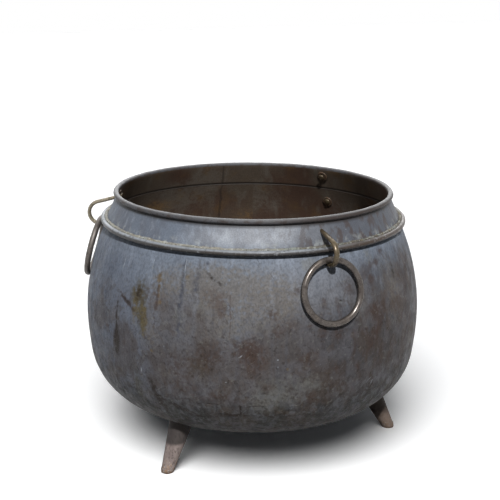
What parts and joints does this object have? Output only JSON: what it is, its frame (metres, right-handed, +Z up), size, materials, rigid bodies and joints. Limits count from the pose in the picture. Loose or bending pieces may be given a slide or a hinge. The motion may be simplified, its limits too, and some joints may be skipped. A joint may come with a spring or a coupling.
{
  "type": "copper cauldron",
  "caption": "Large round-bellied copper cauldron with a rolled rim, a beaded shoulder, loose lifting rings in rod ears, and splayed tapered feet.",
  "frame": {"origin": "on the ground, under the pot's own axis", "axes": "+Z up along the pot's axis, -Y towards the front ear and its ring"},
  "size_m": [0.904, 0.9137, 0.681],
  "materials": {
    "copper_patina": "aged copper sheet, blue-grey patina with brown patches and run marks",
    "bead_copper": "aged copper rod, browner and more rubbed than the sheet",
    "iron_wire": "dark iron wire inside the rolled rim",
    "ear_bronze": "worn yellow bronze rod",
    "ring_bronze": "brown bronze rod, rubbed bright on its crowns",
    "foot_bronze": "cast bronze, dull grey brown with crusted toes",
    "rove_copper": "dark hammered copper washers"
  },
  "bodies": {
    "pot": {"base_pan": "copper_patina", "belly_shell": "copper_patina", "neck_collar": "copper_patina", "rim_wire": "iron_wire", "shoulder_bead": "bead_copper", "ear_front": "ear_bronze", "upper_rove_front": "rove_copper", "lower_rove_front": "rove_copper", "ear_right": "ear_bronze", "upper_rove_right": "rove_copper", "lower_rove_right": "rove_copper", "ear_left": "ear_bronze", "upper_rove_left": "rove_copper", "lower_rove_left": "rove_copper", "foot_left": "foot_bronze", "foot_rove_left": "rove_copper", "foot_right": "foot_bronze", "foot_rove_right": "rove_copper", "foot_back": "foot_bronze", "foot_rove_back": "rove_copper"},
    "front_ring": {"ring_front": "ring_bronze"},
    "right_ring": {"ring_right": "ring_bronze"},
    "left_ring": {"ring_left": "ring_bronze"}
  },
  "joints": [
    {"name": "front_ring_swing", "type": "hinge", "parent": "pot", "child": "front_ring", "pos_m": [0, -0.418, 0.5846], "axis": [-1, 0, 0], "range_deg": [0, 175]},
    {"name": "right_ring_swing", "type": "hinge", "parent": "pot", "child": "right_ring", "pos_m": [0.362, 0.209, 0.5846], "axis": [0.5, -0.866, 0], "range_deg": [0, 175]},
    {"name": "left_ring_swing", "type": "hinge", "parent": "pot", "child": "left_ring", "pos_m": [-0.362, 0.209, 0.5846], "axis": [0.5, 0.866, 0], "range_deg": [0, 175]}
  ]
}
